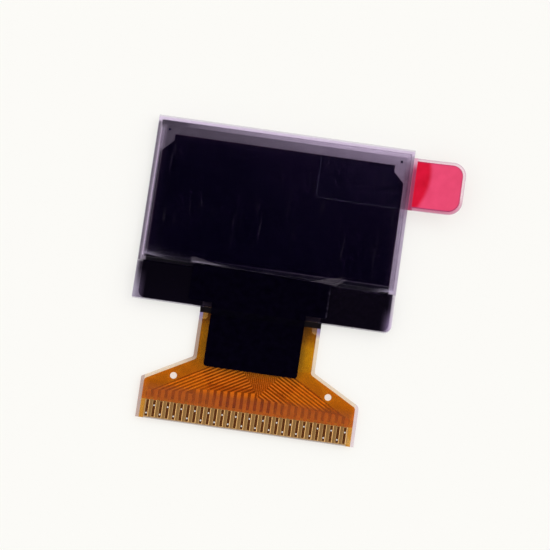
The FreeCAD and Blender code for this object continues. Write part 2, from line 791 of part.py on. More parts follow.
# Black tape: a bar on the glass ledge, and a leg that runs over the edge on to the tail
def make_front_shield_tape():
    body = new_body("front_shield_tape", FRONT)
    bar = new_sketch(body)
    left = f"({LEG_LEFT} - bar_left_wing)"
    right = f"({LEG_RIGHT} + bar_right_wing)"
    high = f"({POLARIZER_FOOT} - bar_gap)"
    low = f"({GLASS_EDGE} + bar_foot)"
    draw_rectangle(bar, left, right, low, high)
    pad(body, bar, "tape_thick")
    round_corners(body, "tape_round", [(left, low), (right, low), (left, high), (right, high)])
    leg_end = f"({GLASS_EDGE} - leg_reach)"
    foot = f"({GLASS_EDGE} - {SLOPE_RUN})"
    shift = f"(tape_thick * (sqrt({SLOPE_RUN} ^ 2 + {SLOPE_FALL} ^ 2) - {SLOPE_RUN}) / {SLOPE_FALL})"
    start = f"({high} - tape_round)"
    lower = [(start, "0"), (GLASS_EDGE, "0"), (foot, f"-{SLOPE_FALL}"), (leg_end, f"-{SLOPE_FALL}")]
    upper = [
        (leg_end, f"(tape_thick - {SLOPE_FALL})"),
        (f"({foot} - {shift})", f"(tape_thick - {SLOPE_FALL})"),
        (f"({GLASS_EDGE} - {shift})", "tape_thick"),
        (start, "tape_thick"),
    ]
    leg = new_sketch(body, "YZ_Plane", LEG_LEFT)
    draw_polygon(leg, lower + upper)
    pad(body, leg, f"({LEG_RIGHT} - {LEG_LEFT})")
    round_corners(body, "tape_round", [(LEG_LEFT, leg_end), (LEG_RIGHT, leg_end)])


# Black tape behind the ledge, with a raised part over the chip and the tail's end
def make_rear_shield_tape():
    body = new_body("rear_shield_tape", f"{LEADS} - tape_thick")
    left = f"(-{GLASS_SIDE} + rear_tape_left_gap)"
    right = f"({GLASS_SIDE} - rear_tape_right_gap)"
    high = f"({CAP_EDGE} - rear_tape_gap)"
    low = f"({GLASS_EDGE} + rear_tape_foot)"
    wings = new_sketch(body)
    draw_rectangle(wings, left, right, low, high)
    pad(body, wings, "tape_thick")
    round_corners(body, "rear_tape_round", [(left, low), (right, low)])
    side = "(neck_width / 2 + tent_side_gap)"
    deep = "(tape_thick - bond_thick - die_thick - tent_die_gap)"
    shallow = "(tape_thick - bond_thick - 2 * copper_thick - base_thick - coverlay_thick - tent_tail_gap)"
    top = f"({high} - tape_thick)"
    rise = f"({DIE_FOOT} - bond_margin)"
    inner = [
        (top, "tape_thick"),
        (f"({top} - tent_slope_run)", deep),
        (rise, deep),
        (f"({rise} - tent_slope_run)", shallow),
        (low, shallow),
        (low, "tape_thick"),
    ]
    outer = [
        (high, "tape_thick"),
        (high, "0"),
        (f"({top} - tent_slope_run)", f"({deep} - tape_thick)"),
        (rise, f"({deep} - tape_thick)"),
        (f"({rise} - tent_slope_run)", f"({shallow} - tape_thick)"),
        (low, f"({shallow} - tape_thick)"),
        (low, "tape_thick"),
    ]
    shell = new_sketch(body, "YZ_Plane", f"-{side} - tape_thick")
    draw_polygon(shell, outer)
    pad(body, shell, f"2 * ({side} + tape_thick)")
    hollow = new_sketch(body, "YZ_Plane", side)
    draw_polygon(hollow, inner)
    pocket(body, hollow, f"2 * {side}")


make_cap_glass()
make_desiccant_sheet()
make_perimeter_seal()
make_display_layers()
make_substrate_glass()
make_alignment_marks()
make_polarizer()
make_protective_film()
make_pull_strip()
make_pull_tab()
make_ledge_leads()
make_driver_die()
make_die_bond_film()
make_tail_bond_film()
make_tail_base_film()
make_tail_traces()
make_rear_ground_copper()
make_contact_pads()
make_front_coverlay()
make_rear_coverlay()
make_glue_bead()
make_front_shield_tape()
make_rear_shield_tape()

doc.recompute()
for item in doc.Objects:
    if "Invalid" in item.State or "Error" in item.State:
        raise RuntimeError(f"{item.Name} failed: {item.State}")
for node in nodes:
    if node.Shape.isNull() or not node.Shape.isValid() or not node.Shape.Solids:
        raise RuntimeError(f"{node.Label} has no valid solid")

os.makedirs("parts", exist_ok=True)
for node in nodes:
    node.Shape.exportStep(f"parts/{node.Label}.step")
    print(f"{node.Label}: {len(node.Shape.Solids)} solids, {node.Shape.Volume:.4f} cubic mm")
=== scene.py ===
import math
from collections import namedtuple

import bpy
from mathutils import Matrix, Vector


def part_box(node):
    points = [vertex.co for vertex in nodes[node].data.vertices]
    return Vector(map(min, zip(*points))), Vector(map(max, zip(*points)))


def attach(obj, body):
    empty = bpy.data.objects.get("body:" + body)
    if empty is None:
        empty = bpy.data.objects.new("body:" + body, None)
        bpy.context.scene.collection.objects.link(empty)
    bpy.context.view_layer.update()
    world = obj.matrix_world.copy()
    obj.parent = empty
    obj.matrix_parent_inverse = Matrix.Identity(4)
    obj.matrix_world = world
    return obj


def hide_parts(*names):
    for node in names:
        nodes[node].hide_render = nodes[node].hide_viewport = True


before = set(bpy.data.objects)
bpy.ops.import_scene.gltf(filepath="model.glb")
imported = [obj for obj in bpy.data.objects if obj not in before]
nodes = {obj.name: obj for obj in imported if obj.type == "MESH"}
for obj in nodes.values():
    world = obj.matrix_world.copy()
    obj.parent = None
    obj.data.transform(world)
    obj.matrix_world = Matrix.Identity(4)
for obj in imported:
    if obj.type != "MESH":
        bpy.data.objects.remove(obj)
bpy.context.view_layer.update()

# Lengths in this script are millimetres, and MM turns them into metres. Angles are degrees.
MM = 0.001

# The camera stands above the tail's side and looks down on the display.
CAMERA_PLACE = (6.5, -60.1, 304.5)
CAMERA_FORWARD = (-0.0184, 0.1776, -0.9839)
CAMERA_UP = (-0.1409, 0.9738, 0.1784)
CAMERA_CLIP = 10.0
SENSOR_WIDTH = 36.0

# The picture is square, and the focal length is counted in its pixels.
FRAME_PIXELS = 550
FOCAL_PIXELS = 3012

# Soft light all round, with a dark card overhead that flat shiny faces mirror
LIGHT_LEVEL = 0.93
CARD_COLOUR = (0.004, 0.001, 0.030)
CARD_DIRECTION = (0.0, 0.18, 0.98)
CARD_INNER_ANGLE = 15.0
CARD_OUTER_ANGLE = 18.0
KEY_DIRECTION = (0.62, 0.30, 0.72)
KEY_LEVEL = 1.2
KEY_INNER_ANGLE = 15.0
KEY_OUTER_ANGLE = 40.0

FLOOR_SIZE = 4000.0
FLOOR_DROP = 0.02

# Seen by the camera, the floor is partly even light, so that shadows on it stay faint.
FLOOR_COLOUR = (0.973, 0.965, 0.930)
FLOOR_LIT_COLOUR = (0.920, 0.912, 0.879)
FLOOR_LIFT = 0.6

WHITE = (1.0, 1.0, 1.0)
BLACK = (0.0, 0.0, 0.0)

# A clear face mirrors this share of the light straight on, and all of it edge on.
MIRROR_FACING = 0.04
MIRROR_POWER = 5.0

# The part of a noise's range in which most of its values lie
CLOUD_SPAN = (0.3, 0.7)
GRAIN_STRENGTH = 0.3


class Look:
    """The nodes of a material or a world, with places in millimetres in the part's frame."""

    def __init__(self, owner):
        self.owner = owner
        owner.use_nodes = True
        self.tree = owner.node_tree
        self.tree.nodes.clear()
        self._place = None

    def node(self, kind, inputs=None, **settings):
        """A new node with its settings set and its inputs fed."""
        node = self.tree.nodes.new("ShaderNode" + kind)
        for name, value in settings.items():
            setattr(node, name, value)
        for name, value in (inputs or {}).items():
            self.feed(node.inputs[name], value)
        return node

    def feed(self, socket, value):
        """Links a socket to another one, or sets its colour or number."""
        if isinstance(value, bpy.types.NodeSocket):
            self.tree.links.new(value, socket)
        elif socket.type == "RGBA":
            socket.default_value = (*value[:3], 1.0)
        else:
            socket.default_value = value

    def place(self):
        if self._place is None:
            metres = self.node("TexCoord").outputs["Object"]
            scaled = self.node("VectorMath", {0: metres, "Scale": 1 / MM}, operation="SCALE")
            self._place = scaled.outputs["Vector"]
        return self._place

    def axis(self, name):
        return self.node("SeparateXYZ", {"Vector": self.place()}).outputs[name]

    def normal_axis(self, name):
        normal = self.node("NewGeometry").outputs["Normal"]
        return self.node("SeparateXYZ", {"Vector": normal}).outputs[name]

    def calculate(self, operation, first, second=0.0):
        return self.node("Math", {0: first, 1: second}, operation=operation).outputs[0]

    def add(self, *values):
        total = values[0]
        for value in values[1:]:
            total = self.calculate("ADD", total, value)
        return total

    def subtract(self, first, second):
        return self.calculate("SUBTRACT", first, second)

    def multiply(self, *values):
        product = values[0]
        for value in values[1:]:
            product = self.calculate("MULTIPLY", product, value)
        return product

    def square(self, value):
        return self.calculate("POWER", value, 2.0)

    def stretch(self, value, span, start=0.0, end=1.0, smooth=False):
        """Runs from start to end while a value runs through a span, and stays level outside it."""
        low, high = span
        kind = "SMOOTHSTEP" if smooth else "LINEAR"
        inputs = {"Value": value, "From Min": low, "From Max": high, "To Min": start, "To Max": end}
        return self.node("MapRange", inputs, interpolation_type=kind).outputs["Result"]

    def between(self, share, first, second):
        """The number that lies between two others by a share from 0 to 1."""
        return self.stretch(share, (0.0, 1.0), first, second)

    def blend(self, share, first, second):
        """The colour that lies between two others by a share from 0 to 1."""
        node = self.node("Mix", data_type="RGBA")
        factor = [socket for socket in node.inputs if socket.name == "Factor" and socket.type == "VALUE"]
        colours = [socket for socket in node.inputs if socket.type == "RGBA"]
        for socket, value in zip(factor + colours, (share, first, second)):
            self.feed(socket, value)
        return next(socket for socket in node.outputs if socket.type == "RGBA")

    def times(self, first, second):
        """Two colours or places multiplied, each part by its like."""
        return self.node("VectorMath", {0: first, 1: second}, operation="MULTIPLY").outputs["Vector"]

    def noise(self, scale, detail, roughness=0.5, squeeze=(1.0, 1.0, 1.0)):
        place = self.times(self.place(), squeeze)
        inputs = {"Vector": place, "Scale": scale, "Detail": detail, "Roughness": roughness}
        return self.node("TexNoise", inputs).outputs["Fac"]

    def cloud(self, scale, detail=4.0, start=0.0, end=1.0):
        return self.stretch(self.noise(scale, detail), CLOUD_SPAN, start, end)

    def grain(self, scale, height, detail=4.0):
        """Normal of a finely uneven face."""
        inputs = {
            "Height": self.noise(scale, detail),
            "Distance": height * MM,
            "Strength": GRAIN_STRENGTH,
        }
        return self.node("Bump", inputs).outputs["Normal"]

    def gap_within(self, place, low, high):
        """How far a place lies inside two sides. It is negative outside them."""
        return self.calculate("MINIMUM", self.subtract(place, low), self.subtract(high, place))

    def edge_distance(self, box, corner=0.0):
        """Distance inwards from the side of a box seen from above, with rounded corners."""
        across = self.axis("X")
        along = self.axis("Y")
        gaps = (self.gap_within(across, box.left, box.right), self.gap_within(along, box.low, box.high))
        outer = [self.subtract(corner, gap) for gap in gaps]
        past = [self.calculate("MAXIMUM", reach, 0.0) for reach in outer]
        squares = self.add(self.multiply(past[0], past[0]), self.multiply(past[1], past[1]))
        round_part = self.calculate("SQRT", squares)
        flat_part = self.calculate("MINIMUM", self.calculate("MAXIMUM", outer[0], outer[1]), 0.0)
        return self.subtract(corner, self.add(round_part, flat_part))

    def shader(self, kind, inputs):
        return self.node(kind, inputs).outputs[0]

    def mix(self, share, first, second):
        """A surface between two others."""
        return self.shader("MixShader", {0: share, 1: first, 2: second})

    def see_through(self, tint):
        return self.shader("BsdfTransparent", {"Color": tint})

    def pass_straight(self, tint):
        """Light that goes straight on through a face and takes its tint."""
        return self.shader("BsdfRefraction", {"Color": tint, "Roughness": 0.0, "IOR": 1.0})

    def mirror_share(self):
        """How much a clear face mirrors where light enters it, least straight on."""
        edge = self.node("LayerWeight", {"Blend": 0.5}).outputs["Facing"]
        share = self.between(self.calculate("POWER", edge, MIRROR_POWER), MIRROR_FACING, 1.0)
        inside = self.node("NewGeometry").outputs["Backfacing"]
        return self.multiply(share, self.subtract(1.0, inside))

    def finish(self, surface, kind="OutputMaterial"):
        self.node(kind, {"Surface": surface})
        return self.owner


def new_look(name):
    return Look(bpy.data.materials.new(name))


def clear_film(look, through, roughness, haze=None, milk=WHITE, normal=None, gloss=WHITE):
    """A clear face: light passes through it, a share of haze is milky, and a little is mirrored."""
    bend = {"Normal": normal} if normal else {}
    body = through
    if haze is not None:
        body = look.mix(haze, through, look.shader("BsdfDiffuse", {"Color": milk, **bend}))
    shine = look.shader("BsdfAnisotropic", {"Color": gloss, "Roughness": roughness, **bend})
    return look.mix(look.mirror_share(), body, shine)


# Camera, light and floor

def make_camera():
    data = bpy.data.cameras.new("camera")
    data.sensor_width = SENSOR_WIDTH
    data.lens = SENSOR_WIDTH * FOCAL_PIXELS / FRAME_PIXELS
    data.clip_start = CAMERA_CLIP * MM
    camera = bpy.data.objects.new("camera", data)
    bpy.context.scene.collection.objects.link(camera)
    back = -Vector(CAMERA_FORWARD).normalized()
    right = Vector(CAMERA_UP).cross(back).normalized()
    up = back.cross(right)
    turn = Matrix((right, up, back)).transposed().to_4x4()
    camera.matrix_world = Matrix.Translation(Vector(CAMERA_PLACE) * MM) @ turn
    bpy.context.scene.camera = camera


def make_world():
    world = bpy.data.worlds.new("studio")
    bpy.context.scene.world = world
    look = Look(world)
    direction = look.node("TexCoord").outputs["Generated"]

    def spot(axis, inner, outer, level=1.0):
        """A round patch of the sky, at its level within the inner angle and nought past the outer one."""
        inputs = {0: direction, 1: Vector(axis).normalized()}
        closeness = look.node("VectorMath", inputs, operation="DOT_PRODUCT").outputs["Value"]
        span = [math.cos(math.radians(angle)) for angle in (outer, inner)]
        return look.stretch(closeness, span, 0.0, level, smooth=True)

    card = spot(CARD_DIRECTION, CARD_INNER_ANGLE, CARD_OUTER_ANGLE)
    key = spot(KEY_DIRECTION, KEY_INNER_ANGLE, KEY_OUTER_ANGLE, KEY_LEVEL)
    open_light = look.add(key, LIGHT_LEVEL)
    open_sky = look.node("CombineColor", {0: open_light, 1: open_light, 2: open_light}).outputs[0]
    sky = look.blend(card, open_sky, CARD_COLOUR)
    look.finish(look.shader("Background", {"Color": sky, "Strength": 1.0}), "OutputWorld")


def make_floor():
    mesh = bpy.data.meshes.new("floor")
    reach = FLOOR_SIZE / 2 * MM
    level = -FLOOR_DROP * MM
    signs = ((-1, -1), (1, -1), (1, 1), (-1, 1))
    mesh.from_pydata([(x * reach, y * reach, level) for x, y in signs], [], [(0, 1, 2, 3)])
    floor = bpy.data.objects.new("floor", mesh)
    bpy.context.scene.collection.objects.link(floor)
    look = new_look("floor")
    lit = look.shader("BsdfDiffuse", {"Color": FLOOR_LIT_COLOUR})
    even = look.shader("Emission", {"Color": FLOOR_COLOUR})
    seen = look.node("LightPath").outputs["Is Camera Ray"]
    mesh.materials.append(look.finish(look.mix(look.multiply(seen, FLOOR_LIFT), lit, even)))


# Outlines of the part's pieces, seen from above

Box = namedtuple("Box", "left low right high")

# How far out a side is moved where it doesn't count as an edge
BEYOND = 3.0


def outline(node):
    low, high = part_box(node)
    return Box(low.x / MM, low.y / MM, high.x / MM, high.y / MM)


def open_at(box, side):
    """An outline whose given side is moved so far out that no edge is found there."""
    away = -BEYOND if side in ("left", "low") else BEYOND
    return box._replace(**{side: getattr(box, side) + away})


GLASS = outline("substrate_glass")
CAP = outline("cap_glass")
POLARIZER = outline("polarizer")
FILM = outline("protective_film")
LAYERS = outline("display_layers")
STRIP = outline("pull_strip")
TAB = outline("pull_tab")
PADS = outline("contact_pads")
COVERLAY = outline("front_coverlay")
T_TAPE = outline("front_shield_tape")

# Sides of the T tape's leg, which runs down over the tail's neck
LEG_LEFT = -5.11
LEG_RIGHT = 4.53

STRIP_CORNER = 1.4
STRIP_LEFT_CORNER = 0.5
TAB_CORNER = 1.15


# Materials of the glasses and what lies between them

# Half the width over which the left side's look turns into the right side's
MIDDLE = 1.0

GLASS_TINT = (0.97, 0.955, 0.985)
GLASS_ROUGHNESS = 0.03


def right_half(look):
    """Nought at the left and one at the right, soft across the middle."""
    return look.stretch(look.axis("X"), (-MIDDLE, MIDDLE))


def glass_material():
    """Front glass: clear, painted darker beside the rear tape at the ledge's sides as the tape's shadow,
    with painted glow along those sides.
    """
    cap_shadow_span = (-8.6, -6.6)
    right_corner = (-7.2, -8.8)
    painted_glow_colour = (0.75, 0.55, 0.95)
    cut_tint = (0.92, 0.90, 0.94)
    cut_milk = (0.78, 0.75, 0.84)
    even_glow = 0.0030
    look = new_look("clear_glass")
    across = look.axis("X")
    along = look.axis("Y")
    left_gap = look.subtract(across, GLASS.left)
    right_gap = look.subtract(GLASS.right, across)

    def side_tint(gap, width, rim, inside):
        return look.blend(look.stretch(gap, (0.0, width)), rim, inside)

    # Painted shade: the ledge's sides darken towards the rear tape, and most towards the cap.
    cap_shadow_share = look.stretch(along, cap_shadow_span)
    low_left = side_tint(left_gap, 0.55, rim=(0.70, 0.68, 0.745), inside=(0.50, 0.47, 0.54))
    high_left = side_tint(left_gap, 0.40, rim=(0.61, 0.58, 0.65), inside=(0.17, 0.15, 0.19))
    left_tint = look.blend(cap_shadow_share, low_left, high_left)
    right_tint = side_tint(right_gap, 0.50, rim=(0.96, 0.93, 0.965), inside=(0.43, 0.40, 0.45))
    ledge = look.stretch(along, (CAP.low - 0.1, CAP.low - 0.3))
    tint = look.blend(ledge, GLASS_TINT, look.blend(right_half(look), left_tint, right_tint))

    # Painted glow as milky haze along the ledge's sides and towards its lower right corner.
    left_width = look.stretch(left_gap, (0.55, 1.2), start=0.050, end=0.0)
    left_glow = look.multiply(left_width, look.subtract(1.0, cap_shadow_share))
    right_glow = look.stretch(right_gap, (0.3, 0.65), start=0.030, end=0.0)
    corner_width = look.square(look.stretch(right_gap, (1.3, 0.3)))
    corner_glow = look.multiply(corner_width, look.stretch(along, right_corner, start=0.0, end=0.16))
    haze = look.multiply(ledge, look.add(left_glow, right_glow, corner_glow, even_glow))

    flat = clear_film(look, look.see_through(tint), GLASS_ROUGHNESS, haze, painted_glow_colour)
    cut = clear_film(look, look.see_through(cut_tint), roughness=0.25, haze=0.14, milk=cut_milk)
    level = look.calculate("ABSOLUTE", look.normal_axis("Z"))
    return look.finish(look.mix(look.stretch(level, (0.4, 0.6)), cut, flat))


# Hue of the light that comes back through the display's border
BORDER_HUE = (1.0, 0.90, 1.0)


def foot_shade(look):
    """The black stretch between the display layers and the ledge, between the glass's side borders."""
    darkest = 0.004
    low = look.stretch(look.axis("Y"), (LAYERS.low - 0.1, LAYERS.low + 0.15), darkest, 1.0)
    from_middle = look.calculate("ABSOLUTE", look.axis("X"))
    side = look.stretch(from_middle, (LAYERS.right - 0.05, LAYERS.right + 0.12))
    return look.calculate("MAXIMUM", low, side)


def border_colour(look, light):
    """The border's colour at a painted level of light, slightly mottled."""
    mottle = look.cloud(1.6, start=0.95, end=1.05)
    return look.blend(look.multiply(light, mottle, foot_shade(look)), BLACK, BORDER_HUE)


def cap_material():
    """Rear glass: clear behind, and ground on its front, where its rim shows round the display in painted
    light, brighter to the right, at the top and along the rim.
    """
    darkest_inside = 0.155
    brightest_inside = 0.62
    left_inside = 0.36
    left_rim_outside = 0.21
    left_rim_inside = 0.62
    right_rim = 0.60
    top_rim = 0.88
    front_height = (0.15, 0.2)
    look = new_look("frosted_glass")
    across = look.axis("X")
    along = look.axis("Y")
    edge = look.edge_distance(open_at(CAP, "low"))

    # Painted light inside the rim: darkest on the left, brightening to the right, and lifted beside the
    # display's left side.
    rightward = look.square(look.stretch(across, (-12.0, 12.5)))
    inside = look.between(rightward, darkest_inside, brightest_inside)
    below_top = look.stretch(along, (CAP.high - 0.5, CAP.high - 1.0))
    left_side = look.multiply(look.stretch(across, (LAYERS.left + 0.3, LAYERS.left)), below_top)
    inside = look.between(left_side, inside, left_inside)

    # Painted light along the rim: darker outside on the left, brighter on the right and brightest at the
    # top.
    inward = look.calculate("POWER", look.stretch(edge, (0.0, 0.3)), 3.4)
    left_rim = look.between(inward, left_rim_outside, left_rim_inside)
    side_rim = look.between(right_half(look), left_rim, right_rim)
    at_top = look.stretch(along, (CAP.high - 0.6, CAP.high - 0.35))
    rim = look.between(at_top, side_rim, top_rim)

    inputs = {
        "Base Color": border_colour(look, look.between(look.stretch(edge, (0.30, 0.36)), rim, inside)),
        "Roughness": 0.6,
        "Specular IOR Level": 0.2,
        "Normal": look.grain(6.0, height=0.01),
    }
    ground = look.shader("BsdfPrincipled", inputs)
    clear = clear_film(look, look.see_through(GLASS_TINT), GLASS_ROUGHNESS)
    return look.finish(look.mix(look.stretch(look.axis("Z"), front_height), clear, ground))


def seal_material():
    """Cured seal, which shows as a pale band round the display, in painted light that is brighter to the
    right and at the top.
    """
    left_corner = 0.62
    beside_display = 0.12
    left_outside = 0.95
    look = new_look("seal")
    across = look.axis("X")
    along = look.axis("Y")
    # Painted light: the band brightens to the right along the top, and darkens beside the display on the
    # left.
    top = look.stretch(across, (-12.0, 9.0), start=0.17, end=0.91)
    left_inside = look.stretch(along, (6.6, 5.8), left_corner, beside_display)
    left_band = (LAYERS.left - 0.33, LAYERS.left - 0.17)
    left = look.stretch(across, left_band, left_outside, left_inside)
    right = look.stretch(along, (-5.0, 3.0), start=0.52, end=0.64)
    side = look.between(right_half(look), left, right)
    at_top = look.stretch(along, (CAP.high - 1.3, CAP.high - 0.7))
    light = look.between(at_top, side, top)
    inputs = {"Base Color": border_colour(look, light), "Roughness": 0.5, "Specular IOR Level": 0.2}
    return look.finish(look.shader("BsdfPrincipled", inputs))


def plain_material(name, colour, roughness, specular=0.5):
    """One colour with soft clouds in it."""
    spread = 0.15
    look = new_look(name)
    darker = tuple(part * (1 - spread) for part in colour)
    lighter = tuple(part * (1 + spread) for part in colour)
    shade = look.blend(look.cloud(3.0), darker, lighter)
    inputs = {"Base Color": shade, "Roughness": roughness, "Specular IOR Level": specular}
    return look.finish(look.shader("BsdfPrincipled", inputs))


def display_material():
    """Dark layers under the glass: violet black, with a painted sheen brighter to the upper right and a
    painted glow at the edge.
    """
    darkest = (0.0004, 0.0001, 0.0012)
    brightest = (0.0150, 0.0092, 0.0215)
    wide_glow_colour = (0.0140, 0.0095, 0.0180)
    wide_glow_width = 0.9
    narrow_glow_colour = (0.040, 0.022, 0.034)
    narrow_glow_width = 0.16
    look = new_look("display_dark")
    cloud = look.stretch(look.noise(0.25, 4.0, 0.6), (0.35, 0.65), start=0.0, end=0.10)
    # Painted sheen: brighter to the upper right.
    rightward = look.stretch(look.axis("X"), (-6.0, 10.0), start=0.22, end=1.0)
    upward = look.square(look.stretch(look.axis("Y"), (-8.0, LAYERS.high)))
    colour = look.blend(look.add(cloud, look.multiply(rightward, upward)), darkest, brightest)
    # Painted glow along the sides and top: a wide faint one and a narrow brighter one.
    gap = look.edge_distance(open_at(LAYERS, "low"))
    for width, edge_colour in ((wide_glow_width, wide_glow_colour), (narrow_glow_width, narrow_glow_colour)):
        colour = look.blend(look.stretch(gap, (width, 0.0), smooth=True), colour, edge_colour)
    inputs = {"Base Color": colour, "Roughness": 0.5, "Specular IOR Level": 0.0}
    return look.finish(look.shader("BsdfPrincipled", inputs))


# Materials of the films over the glass

def polarizer_material():
    """Dark film, with a painted shadow line along its cut edge."""
    look = new_look("polarizer")
    # Painted shadow line along the cut edge
    inward = look.stretch(look.edge_distance(POLARIZER), (0.03, 0.13))
    tint = look.blend(inward, (0.80, 0.78, 0.81), (0.865, 0.852, 0.875))
    through = look.pass_straight(tint)
    return look.finish(clear_film(look, through, 0.04, haze=0.0006, milk=(0.5, 0.35, 0.9)))


# The protective film's lower edge has come away and isn't quite straight. From its level it departs
# in stretches, each with its span across the film and its offsets at both ends.
FOOT_LEVEL = -5.28
FOOT_STRETCHES = (
    ((-12.8, -10.3), 0.22, 0.0),
    ((-4.5, 10.2), 0.0, -0.47),
    ((10.2, 13.0), 0.0, 0.25),
)


def share_of(value, start, end):
    """How far a value is from start to end, from 0 to 1."""
    return min(1.0, max(0.0, (value - start) / (end - start)))


def film_foot(x):
    """Place of the protective film's lower edge along Y."""
    place = FOOT_LEVEL
    for (start, end), first, last in FOOT_STRETCHES:
        place += first + (last - first) * share_of(x, start, end)
    return place


def film_foot_nodes(look):
    """The same place, in a material."""
    place = FOOT_LEVEL
    for span, first, last in FOOT_STRETCHES:
        place = look.add(look.stretch(look.axis("X"), span, first, last), place)
    return place


def film_material():
    """Clear film whose lifted lower lip mirrors the light in places, with painted highlights there as
    milky haze, and very faint scratches.
    """
    look = new_look("protective_film")
    across = look.axis("X")
    rise = look.subtract(look.axis("Y"), film_foot_nodes(look))

    def lip(low, high):
        """One at the film's lower edge and nought above a height over it."""
        return look.stretch(rise, (low, high), 1.0, 0.0, smooth=True)

    streaks = look.noise(1.0, 4.0, 0.6, squeeze=(4.0, 0.28, 1.0))
    scratches = look.stretch(streaks, (0.61, 0.72), start=0.0003, end=0.0120)
    # Painted highlights as milky haze on the lip's facets and corners, a pale line along the other edges,
    # and a faint painted line along the lip itself.
    left_corner = look.multiply(lip(0.08, 0.50), look.stretch(across, (-12.9, -10.4), 0.11, 0.0))
    left_lip_highlight = look.multiply(lip(0.1, 1.3), look.stretch(across, (-12.0, -7.6), 0.009, 0.0))
    wedge_start = look.stretch(across, (-7.82, -7.70))
    wedge_end = look.stretch(across, (-7.7, -3.8), 0.13, 0.0)
    wedge = look.multiply(lip(0.05, 0.22), wedge_start, wedge_end)
    rightmost = look.square(look.stretch(across, (10.3, 12.9)))
    right_corner = look.multiply(lip(0.08, 0.50), rightmost, 0.22)
    other_edges = look.stretch(look.edge_distance(open_at(FILM, "low")), (0.03, 0.09), 0.03, 0.0)
    lip_line = look.multiply(lip(0.04, 0.13), 0.005)
    haze = look.add(scratches, left_corner, left_lip_highlight, wedge, right_corner, other_edges, lip_line)

    through = look.pass_straight((0.985, 0.98, 0.988))
    film = clear_film(look, through, 0.06, haze, milk=(0.72, 0.62, 0.86), gloss=(0.95, 0.80, 1.0))
    return look.finish(film)


def strip_material():
    """Clear strip: hardly seen on the display, with painted mauve shade over its border and painted pink
    and red glow from the red film beside the glass's edge.
    """
    right_border = (12.3, 12.8)
    border_fade = (8.6, 7.0)
    glow_fade = (8.5, 7.3)
    on_display = (0.990, 0.984, 0.990)
    on_border = (0.870, 0.815, 0.840)
    near_red_film = (0.935, 0.72, 0.80)
    high_glow = (0.93, 0.70, 0.81)
    low_glow = (0.71, 0.26, 0.41)
    high_rim = (0.965, 0.885, 0.920)
    low_rim = (0.83, 0.50, 0.62)
    rim_line = (0.84, 0.74, 0.80)
    milk_on_display = (0.5, 0.5, 0.9)
    milk_on_rim = (0.86, 0.55, 0.66)
    look = new_look("clear_strip")
    across = look.axis("X")
    along = look.axis("Y")

    def across_step(start, end):
        return look.stretch(across, (start, end), smooth=True)

    # Painted shade over the glass's right border, mauve and growing downward, turning into a pink painted
    # glow from the red film near the glass's edge.
    mauve = look.blend(across_step(GLASS.right - 0.55, GLASS.right - 0.15), on_border, near_red_film)
    border = look.multiply(across_step(*right_border), look.stretch(along, border_fade))
    tint = look.blend(border, on_display, mauve)
    # Painted red glow from the red film just past the glass's edge, darker and more purple lower down as
    # painted shade.
    glow = look.blend(look.stretch(along, glow_fade, smooth=True), high_glow, low_glow)
    tint = look.blend(across_step(GLASS.right - 0.15, GLASS.right + 0.10), tint, glow)
    # Painted shade: the free end's pink rim turns darker mauve towards the bottom.
    rim = look.blend(look.stretch(along, (STRIP.low + 2.0, STRIP.low + 0.4)), high_rim, low_rim)
    free = across_step(TAB.left - 0.05, TAB.left + 0.15)
    tint = look.blend(free, tint, rim)
    edge = look.edge_distance(open_at(STRIP, "left"), STRIP_CORNER)
    line = look.stretch(edge, (0.02, 0.12), 1.0, 0.0)
    tint = look.blend(look.multiply(line, free), tint, rim_line)

    fixed_edge = look.edge_distance(open_at(STRIP, "right"), STRIP_LEFT_CORNER)
    faint_line = look.stretch(fixed_edge, (0.02, 0.08), 1.0, 0.0)
    speckle = look.stretch(look.noise(1.2, 3.0), (0.45, 0.7), start=0.15, end=1.0)
    haze = look.add(look.between(free, 0.0006, 0.10), look.multiply(faint_line, speckle, 0.026))
    milk = look.blend(free, milk_on_display, milk_on_rim)
    return look.finish(clear_film(look, look.see_through(tint), 0.06, haze, milk))


def tab_material():
    """Red film: deep red beside the glass, painted pinker further out as sheen, with a mauve rim painted
    darker along the bottom as shade.
    """
    deep_colours = ((0.56, 0.001, 0.022), (0.68, 0.004, 0.036))
    sheen_colours = ((0.76, 0.055, 0.145), (0.82, 0.068, 0.170))
    rim_colour = (0.34, 0.04, 0.13)
    # Curved border of the painted sheen, along Y
    bow_top = 15.25
    bow_middle = 7.0
    bow_bend = 0.085
    look = new_look("red_film")
    along = look.axis("Y")
    away = look.calculate("ABSOLUTE", look.subtract(along, bow_middle))
    bow = look.subtract(bow_top, look.multiply(look.square(away), bow_bend))
    painted_sheen_share = look.stretch(look.subtract(look.axis("X"), bow), (-0.32, 0.32), smooth=True)
    cloud = look.cloud(0.9, detail=3.0)
    colour = look.blend(painted_sheen_share, look.blend(cloud, *deep_colours), look.blend(cloud, *sheen_colours))
    edge = look.edge_distance(open_at(TAB, "left"), TAB_CORNER)
    rim = look.stretch(edge, (0.04, 0.18), 1.0, 0.0, smooth=True)
    # Painted shade: the rim is darker along the bottom.
    low_rim = look.multiply(rim, look.stretch(along, (TAB.low + 1.5, TAB.low), 0.45, 0.9))
    inputs = {
        "Base Color": look.blend(low_rim, colour, rim_colour),
        "Roughness": 0.32,
        "Specular IOR Level": 0.2,
        "Normal": look.grain(3.0, height=0.01),
    }
    return look.finish(look.shader("BsdfPrincipled", inputs))


# Materials of the tail

# Where the fan of traces ends in the stubs, along Y
STUBS_START = -17.9


def amber_film(look, tint, haze, milk):
    """The amber films' faces: satin, a little cloudy, and milky by a small share."""
    darker = look.blend(0.04, tint, BLACK)
    tint = look.blend(look.cloud(1.2), tint, darker)
    grain = look.grain(9.0, height=0.003, detail=3.0)
    return look.finish(clear_film(look, look.see_through(tint), 0.12, haze, milk, grain))


